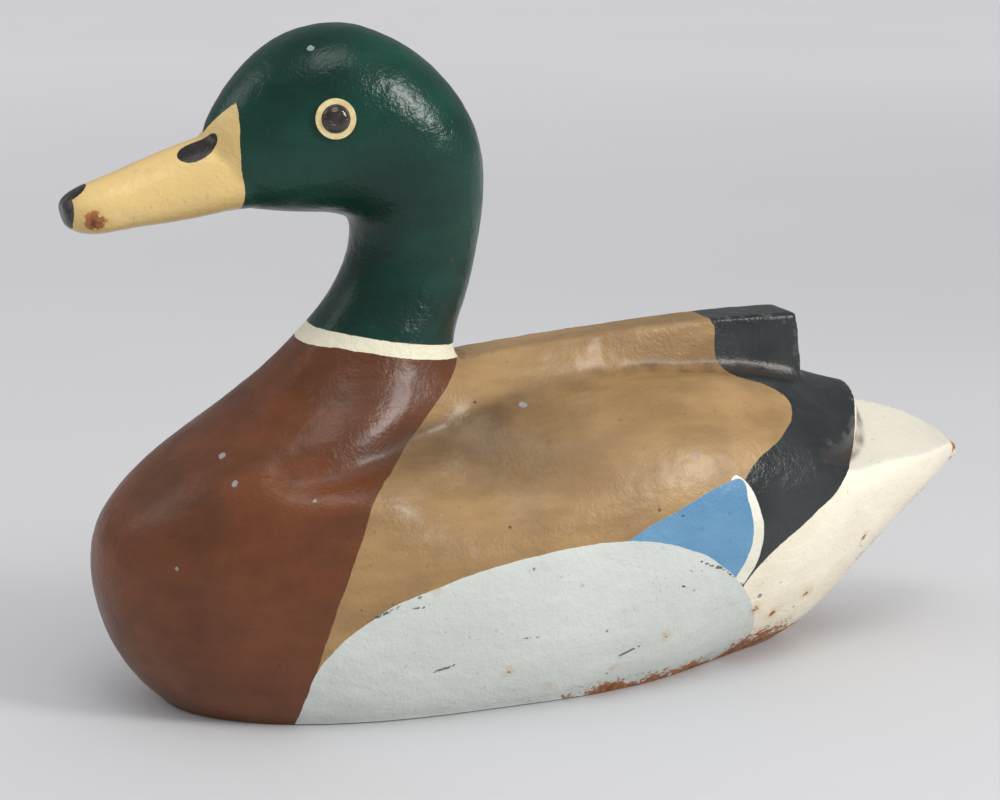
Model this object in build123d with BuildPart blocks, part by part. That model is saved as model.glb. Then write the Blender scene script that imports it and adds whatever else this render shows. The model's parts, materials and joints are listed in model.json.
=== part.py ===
"""Hollow floating duck decoy: two pressed shells joined on the centreline over a base pan.

Frame: +Z up, Z = 0 is the flat underside, the bill points to -X and Y = 0 is the plane of
symmetry, with the bird's left side at -Y. The origin is the bottom centre of the whole bird.
All lengths are millimetres.
"""

import math
import os

from build123d import *

os.makedirs("parts", exist_ok=True)

# ---------------------------------------------------------------- driving sizes
WALL = 1.5                 # nominal wall of the shells
CUT_PAST = 3.0             # how far a cutter runs on past the centreline and the floor
RING_POINTS = 12           # spline spans round one half section
WAIST_AT = 0.66            # where a section is pinched, as a share of its upper reach
WAIST_SPAN = 0.24
GROOVE_REACH = 20.0        # half width of the valley that runs beside the spine

# Base pan, its flange, and what it carries
FLANGE_HEIGHT = 12.0
STRAP_HALF_WIDTH = 5.0     # straps that back the centreline seam
STRAP_SPLIT_Z = 126.0
STRAP_SPLIT_X = -60.0

CUP_AT_X = -98.0           # middle of the recess that holds the line ring
CUP_LENGTH = 42.0
CUP_WIDTH = 40.0
CUP_DEPTH = 8.0
CUP_CORNER = 6.0
CUP_WALL = 1.2

RING_WIRE = 3.4            # diameter of the line ring's wire
RING_BAR_X = -112.0        # hinge axis of the line ring, along Y
RING_BAR_Z = 4.2
RING_HALF_WIDTH = 13.0     # to the middle of the wire
RING_ARM = 10.0
RING_CORNER = 4.0
SADDLE_CLEARANCE = 0.05    # radial, round the ring's bar
SADDLE_LENGTH = 8.0
SADDLE_WIDTH = 13.0
SADDLE_FOOT_Z = 1.4

BALLAST_X = -22.0
BALLAST_SIZE = (96.0, 34.0, 12.0)
STUD_SPACING = 64.0
STUD_DIAMETER = 5.0
STUD_HOLE = 5.6
WASHER_DIAMETER = 12.0
WASHER_THICKNESS = 1.0
NUT_ACROSS_FLATS = 8.0
NUT_THICKNESS = 4.0

DRAIN_X = 62.0
BOSS_DIAMETER = 18.0
BOSS_HEIGHT = 11.0
DRAIN_SEAT = 4.6           # depth of the counterbore that hides the plug's head
DRAIN_SEAT_DIAMETER = 13.0
DRAIN_BORE = 8.0
PLUG_HEAD_DIAMETER = 12.4
PLUG_HEAD_BOTTOM = 0.8
GASKET_THICKNESS = 0.8
SLOT_WIDTH = 1.6
SLOT_DEPTH = 1.2

# Eyes
EYE_X = -87.4
EYE_Z = 210.7
EYE_RING_DIAMETER = 14.0
EYE_RING_HEIGHT = 1.3
EYE_DOME_DIAMETER = 10.0
EYE_DOME_HEIGHT = 3.2
EYE_SHANK_DIAMETER = 4.0
EYE_CLIP_DIAMETER = 9.0
EYE_CLIP_THICKNESS = 1.0
EYE_CLIP_GAP = 0.6         # clears the curved inner wall

# Sections from the tail, through the body, round the breast, up the neck and over the head.
# dorsal x, dorsal z, ventral x, ventral z, half width, widest line as a share of the height
# from the ventral side, upper fullness, lower fullness, waist, groove, extra wall
BODY_ROWS = [
    (178.0, 68.0, 178.0, 61.5, 1.2, 0.30, 2.0, 2.0, 0.0, 0.0, 0.0),
    (171.0, 76.5, 171.0, 57.0, 7.5, 0.58, 2.0, 1.8, 0.0, 0.0, 0.0),
    (160.0, 85.5, 160.0, 48.5, 18.5, 0.60, 2.0, 1.7, 0.0, 0.0, 0.0),
    (142.0, 92.5, 142.0, 34.5, 30.0, 0.62, 1.5, 1.7, 0.0, 0.0, 0.3),
    (120.0, 98.0, 120.0, 15.5, 39.0, 0.64, 1.5, 1.8, 0.0, 0.0, 0.6),
    (98.0, 104.0, 98.0, 0.0, 48.5, 0.62, 1.75, 1.9, 0.0, 0.0, 0.8),
    (72.0, 109.5, 72.0, -6.0, 57.0, 0.58, 2.1, 2.0, 0.0, 3.5, 0.8),
    (40.0, 112.5, 40.0, -12.0, 64.0, 0.55, 2.35, 2.2, 0.0, 6.0, 0.6),
    (8.0, 110.5, 5.0, -18.0, 67.5, 0.54, 2.35, 2.3, 0.0, 6.0, 0.8),
    (-14.0, 107.0, -40.0, -20.0, 68.0, 0.54, 2.35, 2.3, 0.08, 4.0, 1.0),
    (-27.0, 108.0, -88.0, -19.0, 67.0, 0.53, 2.3, 2.3, 0.26, 0.0, 1.8),
    (-33.0, 111.5, -126.0, -11.0, 64.5, 0.53, 2.2, 2.2, 0.38, 0.0, 2.2),
    (-36.0, 116.0, -155.0, 8.0, 59.0, 0.52, 2.1, 2.1, 0.32, 0.0, 2.2),
    (-37.0, 119.5, -169.5, 38.0, 52.0, 0.51, 2.0, 2.1, 0.16, 0.0, 1.6),
    (-37.0, 122.5, -169.0, 63.0, 45.5, 0.50, 2.0, 2.1, 0.05, 0.0, 0.8),
    (-36.5, 126.0, -153.5, 82.5, 38.5, 0.50, 2.0, 2.1, 0.0, 0.0, 0.3),
    (-35.5, 130.0, -132.0, 98.0, 32.5, 0.50, 2.0, 2.1, 0.0, 0.0, 0.0),
    (-34.0, 135.0, -109.0, 115.5, 28.0, 0.50, 2.0, 2.1, 0.0, 0.0, 0.0),
    (-31.5, 142.5, -90.5, 132.5, 24.5, 0.50, 2.1, 2.1, 0.0, 0.0, 0.0),
    (-28.5, 153.0, -79.5, 146.5, 22.5, 0.50, 2.1, 2.1, 0.0, 0.0, 0.0),
    (-26.0, 167.0, -74.0, 159.5, 22.8, 0.50, 2.1, 2.1, 0.0, 0.0, 0.0),
    (-25.0, 183.0, -73.0, 168.5, 25.5, 0.52, 2.1, 2.1, 0.0, 0.0, 0.0),
    (-28.0, 201.5, -75.0, 172.0, 28.0, 0.53, 2.2, 2.1, 0.0, 0.0, 0.0),
    (-38.5, 219.5, -79.0, 173.5, 29.0, 0.53, 2.2, 2.1, 0.0, 0.0, 0.0),
    (-56.0, 234.0, -84.0, 174.5, 29.2, 0.52, 2.2, 2.1, 0.0, 0.0, 0.0),
    (-77.0, 241.0, -91.0, 175.0, 28.0, 0.50, 2.2, 2.1, 0.0, 0.0, 0.0),
    (-98.0, 236.8, -99.0, 175.5, 25.0, 0.48, 2.2, 2.1, 0.0, 0.0, 0.0),
    (-112.3, 226.5, -107.0, 176.5, 20.8, 0.46, 2.1, 2.1, 0.0, 0.0, 0.0),
    (-122.8, 213.0, -114.0, 178.5, 15.5, 0.46, 2.1, 2.1, 0.0, 0.0, 0.0),
    (-126.8, 204.0, -119.0, 184.0, 9.0, 0.50, 2.0, 2.0, 0.0, 0.0, 0.0),
]

# Bill sections: top x, top z, bottom x, bottom z, half width, widest share, upper and lower fullness
BILL_ROWS = [
    (-108.0, 209.0, -104.0, 180.0, 13.5, 0.45, 2.2, 2.4),
    (-124.0, 204.5, -113.0, 177.5, 14.8, 0.42, 2.0, 2.5),
    (-135.0, 201.0, -127.0, 176.0, 14.6, 0.40, 1.9, 2.6),
    (-148.0, 196.5, -143.0, 174.0, 13.8, 0.40, 1.9, 2.6),
    (-161.0, 191.5, -157.5, 172.5, 12.8, 0.42, 2.0, 2.6),
    (-170.0, 188.3, -167.0, 171.5, 11.4, 0.44, 2.1, 2.6),
    (-175.5, 185.5, -173.0, 172.5, 9.2, 0.48, 2.2, 2.5),
    (-178.0, 182.0, -177.0, 175.5, 5.0, 0.50, 2.2, 2.3),
]

# Spine ridge along the back: x, top z, top half width, foot z, foot half width
SPINE_ROWS = [
    (-56.0, 117.0, 15.0, 82.0, 44.0),
    (-36.0, 119.0, 11.0, 88.0, 36.0),
    (-18.0, 121.0, 9.2, 92.0, 28.0),
    (12.0, 123.6, 8.8, 95.0, 19.0),
    (45.0, 125.7, 9.2, 97.0, 14.5),
    (75.0, 126.8, 9.8, 96.0, 13.0),
    (114.0, 126.2, 10.2, 90.0, 12.5),
]
SPINE_LEAN = 0.10          # how far the rear face of the spine leans back per unit of drop
SPINE_REAR_X = 100.5       # rear end of the spine's top

# Tail: the wings end in a curved step above a roof-shaped tail
STEP_RADIUS = 43.5
STEP_CENTRE_X = 83.5
CUTTER_TOP = 160.0
ROOF_SLOPE = 0.5           # fall of the tail's top per unit of distance from the centreline
ROOF_CREST = [
    (70.0, 128.0),
    (88.0, 108.0),
    (103.0, 95.5),
    (117.0, 91.0),
    (130.0, 89.2),
    (145.0, 85.0),
    (161.0, 78.5),
    (172.0, 71.0),
    (182.0, 62.0),
]


# ---------------------------------------------------------------- the bird's form


def half_ring(half, up, down, full_up, full_down, waist, groove):
    """(across, along) points of the +Y half of a section, from its lowest point to its highest."""
    points = []
    for step in range(RING_POINTS + 1):
        turn = math.pi * (step / RING_POINTS - 0.5)
        cosine = max(math.cos(turn), 0.0) if 0 < step < RING_POINTS else 0.0
        sine = math.sin(turn)
        reach, full = (up, full_up) if sine > 0 else (down, full_down)
        across = half * cosine ** (2 / full)
        along = reach * math.copysign(abs(sine) ** (2 / full), sine)
        if sine > 0:
            share = along / up
            across *= 1 - waist * math.exp(-(((share - WAIST_AT) / WAIST_SPAN) ** 2))
            along -= groove * share**2 * math.exp(-((across / GROOVE_REACH) ** 2))
        points.append((across, along))
    return points


def section_plane(dorsal_x, dorsal_z, ventral_x, ventral_z, share):
    """Plane of one section: local x runs across the bird and local y towards its back."""
    height = math.hypot(dorsal_x - ventral_x, dorsal_z - ventral_z)
    along_x = (dorsal_x - ventral_x) / height
    along_z = (dorsal_z - ventral_z) / height
    origin = (ventral_x + along_x * height * share, 0, ventral_z + along_z * height * share)
    return Plane(origin, x_dir=(0, 1, 0), z_dir=(along_z, 0, -along_x)), height


def centre_side(top, bottom, past):
    """Corners of a half section's inner side, from its highest point to its lowest."""
    if past:
        return [top, (-past, top[1]), (-past, bottom[1]), bottom]
    return [top, bottom]


def oval_half(rows, inset, past):
    """The +Y half of a smooth solid through oval sections, each drawn inside its row by the inset.

    It runs on past the centreline by the given distance.
    """
    with BuildPart() as solid:
        for dx, dz, vx, vz, half, share, full_up, full_down, waist, groove, extra in rows:
            plane, height = section_plane(dx, dz, vx, vz, share)
            depth = inset + extra if inset else 0.0
            up = height * (1 - share) - depth
            down = height * share - depth
            points = half_ring(half - depth, up, down, full_up, full_down, waist, groove)
            with BuildSketch(plane):
                with BuildLine():
                    Spline(*points, tangents=((1, 0), (-1, 0)), tangent_scalars=(1, 1))
                    Polyline(*centre_side(points[-1], points[0], past))
                make_face()
        loft()
    return solid.part


def spine_half(inset, past):
    """The +Y half of the ridge along the back, with its leaning rear face."""
    with BuildPart() as solid:
        for x, top, top_half, foot, foot_half in SPINE_ROWS:
            with BuildSketch(Plane((x, 0, 0), x_dir=(0, 1, 0), z_dir=(1, 0, 0))):
                with BuildLine():
                    flare = (foot_half - top_half) * 0.4
                    flank = Spline(
                        (top_half - inset, top - inset),
                        (top_half + flare * 0.35 - inset, top - 0.4 * (top - foot)),
                        (top_half + flare - inset, top - 0.7 * (top - foot)),
                        (foot_half - inset, foot),
                    )
                    Polyline(flank @ 1, (-past, foot), (-past, top - inset), flank @ 0)
                make_face()
        loft()
        rear = Plane((SPINE_REAR_X - inset, 0, SPINE_ROWS[-1][1]), z_dir=(1, 0, SPINE_LEAN))
        split(bisect_by=rear, keep=Keep.BOTTOM)
    return solid.part


def roof_cutter(inset, past):
    """What is cleared away above the tail, behind the curved step at the wing ends."""
    crest = [(x, z - inset * math.hypot(1, ROOF_SLOPE)) for x, z in ROOF_CREST]
    with BuildPart() as solid:
        with BuildSketch(Plane.XZ):
            with BuildLine():
                Spline(*crest)
                Polyline(crest[-1], (crest[-1][0], CUTTER_TOP), (crest[0][0], CUTTER_TOP), crest[0])
            make_face()
        profile = solid.pending_faces[0]
        extrude(amount=80, dir=(0, 1, -ROOF_SLOPE))
        if past:
            extrude(profile, amount=past, dir=(0, -1, 0))
        with Locations((STEP_CENTRE_X, 0, 0)):
            Cylinder(STEP_RADIUS - inset, 400, mode=Mode.SUBTRACT)
    return solid.part


def half_form(inset, past=0.0):
    """The +Y half of the bird's form, drawn in by the inset and cut flat at Z = 0.

    A drawn-in form also leaves out the end sections, so that the tips keep a solid wall.
    A form used as a cutter runs on past the centreline and the floor.
    """
    body_rows = BODY_ROWS[1:-1] if inset else BODY_ROWS
    bill_rows = BILL_ROWS[:-1] if inset else BILL_ROWS
    with BuildPart() as form:
        add(oval_half(body_rows, inset, past))
        add(spine_half(inset, past))
        add(roof_cutter(inset, past), mode=Mode.SUBTRACT)
        add(oval_half([row + (0.0, 0.0, 0.0) for row in bill_rows], inset, past))
        split(bisect_by=Plane.XY.offset(-past), keep=Keep.TOP)
    return form.part


# ---------------------------------------------------------------- finishing helpers


def finish(sub_part, name):
    """Label one sub-part and write it to its own file."""
    sub_part.label = name
    export_step(sub_part, f"parts/{name}.step")
    print(name, round(sub_part.volume), "mm3", len(sub_part.solids()), "solid(s)")


outer_half = half_form(0.0)
cavity_cutter = half_form(WALL, CUT_PAST)
lining_cutter = half_form(2 * WALL, CUT_PAST)

with BuildPart() as cavity:
    add(cavity_cutter)
    split(bisect_by=Plane.XY, keep=Keep.TOP)
    split(bisect_by=Plane.XZ, keep=Keep.BOTTOM)
cavity_half = cavity.part

eye_seat, eye_normal = max(
    outer_half.find_intersection_points(Axis((EYE_X, 0, EYE_Z), (0, 1, 0))),
    key=lambda hit: hit[0].Y,
)
EYE_PLANE = Plane(eye_seat, z_dir=eye_normal)

# ---------------------------------------------------------------- shells

with BuildPart() as right_half_shell:
    add(outer_half)
    add(cavity_cutter, mode=Mode.SUBTRACT)
    with BuildSketch(EYE_PLANE.offset(EYE_DOME_HEIGHT)):
        Circle(EYE_SHANK_DIAMETER / 2)
    extrude(amount=-3 * EYE_DOME_HEIGHT, mode=Mode.SUBTRACT)
finish(right_half_shell.part, "right_half_shell")

with BuildPart() as left_half_shell:
    add(mirror(right_half_shell.part, about=Plane.XZ, mode=Mode.PRIVATE))
finish(left_half_shell.part, "left_half_shell")

# ---------------------------------------------------------------- seam straps

with BuildPart() as seam_band:
    add(cavity_half)
    add(lining_cutter, mode=Mode.SUBTRACT)
    split(bisect_by=Plane.XZ.offset(-STRAP_HALF_WIDTH), keep=Keep.TOP)
    split(bisect_by=Plane.XY.offset(FLANGE_HEIGHT), keep=Keep.TOP)
    mirror(about=Plane.XZ)

with BuildPart() as head_band:
    add(seam_band.part)
    split(bisect_by=Plane.XY.offset(STRAP_SPLIT_Z), keep=Keep.TOP)
head_straps = head_band.solids().sort_by(SortBy.VOLUME)
for strap, strap_name in zip(head_straps, ("seam_strap_bill", "seam_strap_throat", "seam_strap_crown")):
    finish(strap, strap_name)

with BuildPart() as seam_strap_breast:
    add(seam_band.part)
    split(bisect_by=Plane.XY.offset(STRAP_SPLIT_Z), keep=Keep.BOTTOM)
    split(bisect_by=Plane.YZ.offset(STRAP_SPLIT_X), keep=Keep.BOTTOM)
finish(seam_strap_breast.part, "seam_strap_breast")

with BuildPart() as seam_strap_back:
    add(seam_band.part)
    split(bisect_by=Plane.XY.offset(STRAP_SPLIT_Z), keep=Keep.BOTTOM)
    split(bisect_by=Plane.YZ.offset(STRAP_SPLIT_X), keep=Keep.TOP)
finish(seam_strap_back.part, "seam_strap_back")

# ---------------------------------------------------------------- base pan and line cup

with BuildPart() as base_pan:
    add(cavity_half)
    split(bisect_by=Plane.XY.offset(FLANGE_HEIGHT), keep=Keep.BOTTOM)
    add(
        split(lining_cutter, bisect_by=Plane.XY.offset(WALL), keep=Keep.TOP, mode=Mode.PRIVATE),
        mode=Mode.SUBTRACT,
    )
    mirror(about=Plane.XZ)
    with BuildSketch(Plane.XY):
        with Locations((CUP_AT_X, 0)):
            RectangleRounded(CUP_LENGTH + 2 * CUP_WALL, CUP_WIDTH + 2 * CUP_WALL, CUP_CORNER + CUP_WALL)
        with Locations((DRAIN_X, 0)):
            Circle(BOSS_DIAMETER / 2)
    extrude(amount=WALL, mode=Mode.SUBTRACT)
finish(base_pan.part, "base_pan")

with BuildPart() as line_cup:
    with BuildSketch(Plane.XY):
        with Locations((CUP_AT_X, 0)):
            RectangleRounded(CUP_LENGTH + 2 * CUP_WALL, CUP_WIDTH + 2 * CUP_WALL, CUP_CORNER + CUP_WALL)
    extrude(amount=CUP_DEPTH + CUP_WALL)
    with BuildSketch(Plane.XY):
        with Locations((CUP_AT_X, 0)):
            RectangleRounded(CUP_LENGTH, CUP_WIDTH, CUP_CORNER)
    extrude(amount=CUP_DEPTH, mode=Mode.SUBTRACT)
finish(line_cup.part, "line_cup")

with BuildPart() as line_saddle:
    with BuildSketch(Plane.XZ.offset(-SADDLE_WIDTH / 2)):
        with BuildLine():
            half_length = SADDLE_LENGTH / 2
            Polyline(
                (RING_BAR_X - half_length, RING_BAR_Z),
                (RING_BAR_X - half_length, CUP_DEPTH),
                (RING_BAR_X + half_length, CUP_DEPTH),
                (RING_BAR_X + half_length, RING_BAR_Z),
            )
            ThreePointArc(
                (RING_BAR_X + half_length, RING_BAR_Z),
                (RING_BAR_X, SADDLE_FOOT_Z),
                (RING_BAR_X - half_length, RING_BAR_Z),
            )
        make_face()
        with Locations((RING_BAR_X, RING_BAR_Z)):
            Circle(RING_WIRE / 2 + SADDLE_CLEARANCE, mode=Mode.SUBTRACT)
    extrude(amount=SADDLE_WIDTH)
finish(line_saddle.part, "line_saddle")

with BuildPart() as line_ring:
    with BuildLine(Plane.XY.offset(RING_BAR_Z)) as ring_path:
        bow_x = RING_BAR_X + RING_ARM
        loop = FilletPolyline(
            (bow_x, -RING_HALF_WIDTH),
            (RING_BAR_X, -RING_HALF_WIDTH),
            (RING_BAR_X, RING_HALF_WIDTH),
            (bow_x, RING_HALF_WIDTH),
            radius=RING_CORNER,
        )
        ThreePointArc(loop @ 1, (bow_x + RING_HALF_WIDTH, 0), loop @ 0)
    with BuildSketch(Plane((RING_BAR_X, 0, RING_BAR_Z), z_dir=(0, 1, 0))):
        Circle(RING_WIRE / 2)
    sweep(path=ring_path.wire())
finish(line_ring.part, "line_ring")

# ---------------------------------------------------------------- ballast

stud_places = [(BALLAST_X - STUD_SPACING / 2, 0), (BALLAST_X + STUD_SPACING / 2, 0)]
ballast_top = WALL + BALLAST_SIZE[2]

with BuildPart() as ballast_bar:
    with BuildSketch(Plane.XY.offset(WALL)):
        with Locations((BALLAST_X, 0)):
            RectangleRounded(BALLAST_SIZE[0], BALLAST_SIZE[1], 4)
        with Locations(*stud_places):
            Circle(STUD_HOLE / 2, mode=Mode.SUBTRACT)
    extrude(amount=BALLAST_SIZE[2])
    chamfer(ballast_bar.faces().sort_by(Axis.Z)[-1].outer_wire().edges(), 1.0)
finish(ballast_bar.part, "ballast_bar")

with BuildPart() as ballast_washers:
    with BuildSketch(Plane.XY.offset(ballast_top)):
        with Locations(*stud_places):
            Circle(WASHER_DIAMETER / 2)
            Circle(STUD_HOLE / 2, mode=Mode.SUBTRACT)
    extrude(amount=WASHER_THICKNESS)
finish(ballast_washers.part, "ballast_washers")

nut_base = ballast_top + WASHER_THICKNESS
with BuildPart() as ballast_nuts:
    with BuildSketch(Plane.XY.offset(nut_base)):
        with Locations(*stud_places):
            RegularPolygon(NUT_ACROSS_FLATS / 2, 6, major_radius=False)
            Circle(STUD_DIAMETER / 2, mode=Mode.SUBTRACT)
    extrude(amount=NUT_THICKNESS)
finish(ballast_nuts.part, "ballast_nuts")

with BuildPart() as ballast_studs:
    with BuildSketch(Plane.XY.offset(WALL)):
        with Locations(*stud_places):
            Circle(STUD_DIAMETER / 2)
    extrude(amount=nut_base + NUT_THICKNESS + 2 - WALL)
finish(ballast_studs.part, "ballast_studs")

# ---------------------------------------------------------------- drain

plug_head_top = DRAIN_SEAT - GASKET_THICKNESS

with BuildPart() as drain_boss:
    with BuildSketch(Plane.XY):
        with Locations((DRAIN_X, 0)):
            Circle(BOSS_DIAMETER / 2)
    extrude(amount=BOSS_HEIGHT)
    with Locations((DRAIN_X, 0, 0)):
        Cylinder(DRAIN_BORE / 2, 3 * BOSS_HEIGHT, mode=Mode.SUBTRACT)
        Cylinder(DRAIN_SEAT_DIAMETER / 2, 2 * DRAIN_SEAT, mode=Mode.SUBTRACT)
finish(drain_boss.part, "drain_boss")

with BuildPart() as drain_gasket:
    with BuildSketch(Plane.XY.offset(plug_head_top)):
        with Locations((DRAIN_X, 0)):
            Circle(DRAIN_SEAT_DIAMETER / 2)
            Circle(DRAIN_BORE / 2, mode=Mode.SUBTRACT)
    extrude(amount=GASKET_THICKNESS)
finish(drain_gasket.part, "drain_gasket")

with BuildPart() as drain_plug:
    with BuildSketch(Plane.XY.offset(PLUG_HEAD_BOTTOM)):
        with Locations((DRAIN_X, 0)):
            Circle(PLUG_HEAD_DIAMETER / 2)
    extrude(amount=plug_head_top - PLUG_HEAD_BOTTOM)
    with BuildSketch(Plane.XY.offset(plug_head_top)):
        with Locations((DRAIN_X, 0)):
            Circle(DRAIN_BORE / 2)
    extrude(amount=BOSS_HEIGHT + 1 - plug_head_top)
    with BuildSketch(Plane.XY.offset(PLUG_HEAD_BOTTOM)):
        with Locations((DRAIN_X, 0)):
            Rectangle(SLOT_WIDTH, PLUG_HEAD_DIAMETER)
    extrude(amount=SLOT_DEPTH, mode=Mode.SUBTRACT)
finish(drain_plug.part, "drain_plug")

# ---------------------------------------------------------------- eyes

with BuildPart() as eye_ring_right:
    with BuildSketch(EYE_PLANE.offset(-EYE_RING_HEIGHT)):
        Circle(EYE_RING_DIAMETER / 2)
        Circle(EYE_DOME_DIAMETER / 2, mode=Mode.SUBTRACT)
    extrude(amount=2 * EYE_RING_HEIGHT)
    add(outer_half, mode=Mode.SUBTRACT)
finish(eye_ring_right.part, "eye_ring_right")

with BuildPart() as eye_ring_left:
    add(mirror(eye_ring_right.part, about=Plane.XZ, mode=Mode.PRIVATE))
finish(eye_ring_left.part, "eye_ring_left")

with BuildPart() as eye_dome_right:
    with BuildSketch(EYE_PLANE.offset(-EYE_RING_HEIGHT)):
        Circle(EYE_DOME_DIAMETER / 2)
    extrude(amount=EYE_RING_HEIGHT + EYE_DOME_HEIGHT)
    fillet(eye_dome_right.edges().sort_by(Axis(EYE_PLANE.origin, EYE_PLANE.z_dir))[-1], EYE_DOME_HEIGHT * 0.9)
    add(outer_half, mode=Mode.SUBTRACT)
    with BuildSketch(EYE_PLANE.offset(EYE_RING_HEIGHT / 2)):
        Circle(EYE_SHANK_DIAMETER / 2)
    extrude(amount=-(EYE_RING_HEIGHT / 2 + WALL + EYE_CLIP_GAP + 2 * EYE_CLIP_THICKNESS))
finish(eye_dome_right.part, "eye_dome_right")

with BuildPart() as eye_dome_left:
    add(mirror(eye_dome_right.part, about=Plane.XZ, mode=Mode.PRIVATE))
finish(eye_dome_left.part, "eye_dome_left")

with BuildPart() as eye_clip_right:
    with BuildSketch(EYE_PLANE.offset(-(WALL + EYE_CLIP_GAP))):
        Circle(EYE_CLIP_DIAMETER / 2)
        Circle(EYE_SHANK_DIAMETER / 2, mode=Mode.SUBTRACT)
    extrude(amount=-EYE_CLIP_THICKNESS)
finish(eye_clip_right.part, "eye_clip_right")

with BuildPart() as eye_clip_left:
    add(mirror(eye_clip_right.part, about=Plane.XZ, mode=Mode.PRIVATE))
finish(eye_clip_left.part, "eye_clip_left")
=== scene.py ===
"""Looks of the floating duck decoy: one painted skin for each half shell, and finishes for the rest.

Blender's units are metres. Places on the bird that the paint follows are given in millimetres, as
(x, z) seen from the side, because both sides carry the same scheme.
"""

import json
import math

import bmesh
import bpy
import numpy as np
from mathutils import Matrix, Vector, noise


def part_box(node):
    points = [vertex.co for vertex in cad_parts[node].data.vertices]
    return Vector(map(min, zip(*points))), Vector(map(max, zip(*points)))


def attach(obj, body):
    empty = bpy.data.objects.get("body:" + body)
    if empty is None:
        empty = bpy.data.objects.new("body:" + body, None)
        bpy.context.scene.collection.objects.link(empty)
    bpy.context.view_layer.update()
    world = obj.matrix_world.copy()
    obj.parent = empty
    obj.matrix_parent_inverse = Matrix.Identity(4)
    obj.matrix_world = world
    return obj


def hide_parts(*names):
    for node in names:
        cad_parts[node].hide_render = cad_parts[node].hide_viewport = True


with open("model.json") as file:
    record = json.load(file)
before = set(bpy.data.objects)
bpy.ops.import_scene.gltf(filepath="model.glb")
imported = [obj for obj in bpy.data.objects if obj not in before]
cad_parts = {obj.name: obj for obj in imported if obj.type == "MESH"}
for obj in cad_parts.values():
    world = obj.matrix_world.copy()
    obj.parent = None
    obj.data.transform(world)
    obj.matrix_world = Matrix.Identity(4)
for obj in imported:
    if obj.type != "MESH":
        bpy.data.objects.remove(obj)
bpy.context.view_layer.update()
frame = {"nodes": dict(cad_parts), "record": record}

MM = 0.001
VOXEL = 1.2                # grid of the remeshed skin
SHEET = 1.3                # thickness of the visible sheet
EVEN_PASSES = 3            # smoothing that takes the grid's steps away
FILLET_PASSES = 45         # further smoothing in sharp hollows
PEBBLE = 0.10              # height of the pebbled surface
UNEVEN = 0.20              # height of its slow unevenness
SKIRT = 3.0                # how far the skin runs below the floor before it is cut off
EYE_BORE = 4               # the eye's hole is dropped within this distance of its axis
CREASE_DEPTH = 3.4         # the soft crease between neck and shoulder, with a swell below it
CREASE_SPAN = 6.0          # half its width
CREASE_X = (-80, 40)       # its middle and how far it reaches each way
CREASE_FROM_MIDDLE = 16    # it begins this far from the centreline
BEND_FULL = 0.12           # bend in 1/mm that counts as a full hollow or a full ridge
STEP_ARC = (83.5, 43.5)    # the step at the wing ends: centre x and radius
STEP_FROM_X = 95           # behind this x the step keeps its edge
SHARP_BEND = (0.05, 0.15)  # hollows are filleted from this bend in 1/mm, and fully this much above it

# Places that are smoothed further: middle x and z, reach along each, least distance from the
# centreline, passes. They are the shoulder beside the foot of the neck, and the ridge's flank.
SOFT_PLACES = [(-68, 106, 44, 28, 9, 560), (2, 112, 62, 11, 10.5, 70)]

# Flat flank of the ridge along the back: x, top half width, top z, foot half width, foot z
FLANK_ROWS = [(-62, 13, 116.4, 36, 97.5), (-45, 11.5, 117.9, 31, 101), (-30, 10.2, 119.3, 26.5, 104),
              (-15, 9.0, 120.9, 20.5, 107), (0, 8.5, 122.2, 16.5, 108.6), (20, 8.5, 123.8, 13.2, 109.5),
              (45, 8.9, 125.3, 11.8, 109.6), (75, 9.5, 126.4, 11.2, 108)]

# ---------------------------------------------------------------- the paint scheme's outlines

BROWN_EDGE = [(-35.5, 127), (-39.5, 119.5), (-51.5, 109), (-64, 97), (-74, 89.5), (-84, 82), (-91, 66),
              (-100, 44), (-106, 23), (-110, 0), (-111, -12)]
GREY_EDGE = [(-111, -12), (-110, 2), (-105, 25), (-86, 43), (-65, 51.5), (-38, 58), (-8, 61.5), (13, 60.2),
             (34, 54), (48.5, 44.5), (58, 34.5), (65, 24), (69, 13), (70, 4), (70, -12)]
BLACK_EDGE = [(64.5, 140), (64.7, 126.5), (66, 123), (66, 112.5), (70, 106.5), (79, 103.5), (87, 99),
              (86, 94), (77, 88.5), (57, 78.5), (54, 60), (50, 30)]
BLUE_EDGE = [(-2, 55), (6.7, 61.3), (25, 69.2), (52, 77.8), (56.8, 69.7), (59, 57.5), (57.2, 48.5), (52, 40)]
BAR_EDGE = [(44, 45), (46, 68), (51.5, 79), (58.8, 73), (62.8, 62.5), (64, 55.5), (62, 46), (56.5, 37)]
TAIL_EDGE = [(129, 112), (126.6, 95.5), (124, 92), (119, 87), (115.5, 77.5), (106, 71.4), (98.5, 65),
             (90, 60.5), (79, 54), (67.5, 47.2), (57, 37), (52, 20), (50, -12)]
FOLD_LINE = [(-110, 90), (-94, 91), (-75, 94.5), (-60, 98.5), (-44, 101), (-13, 106.5), (3, 109),
             (35, 109.5), (65, 109)]

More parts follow.
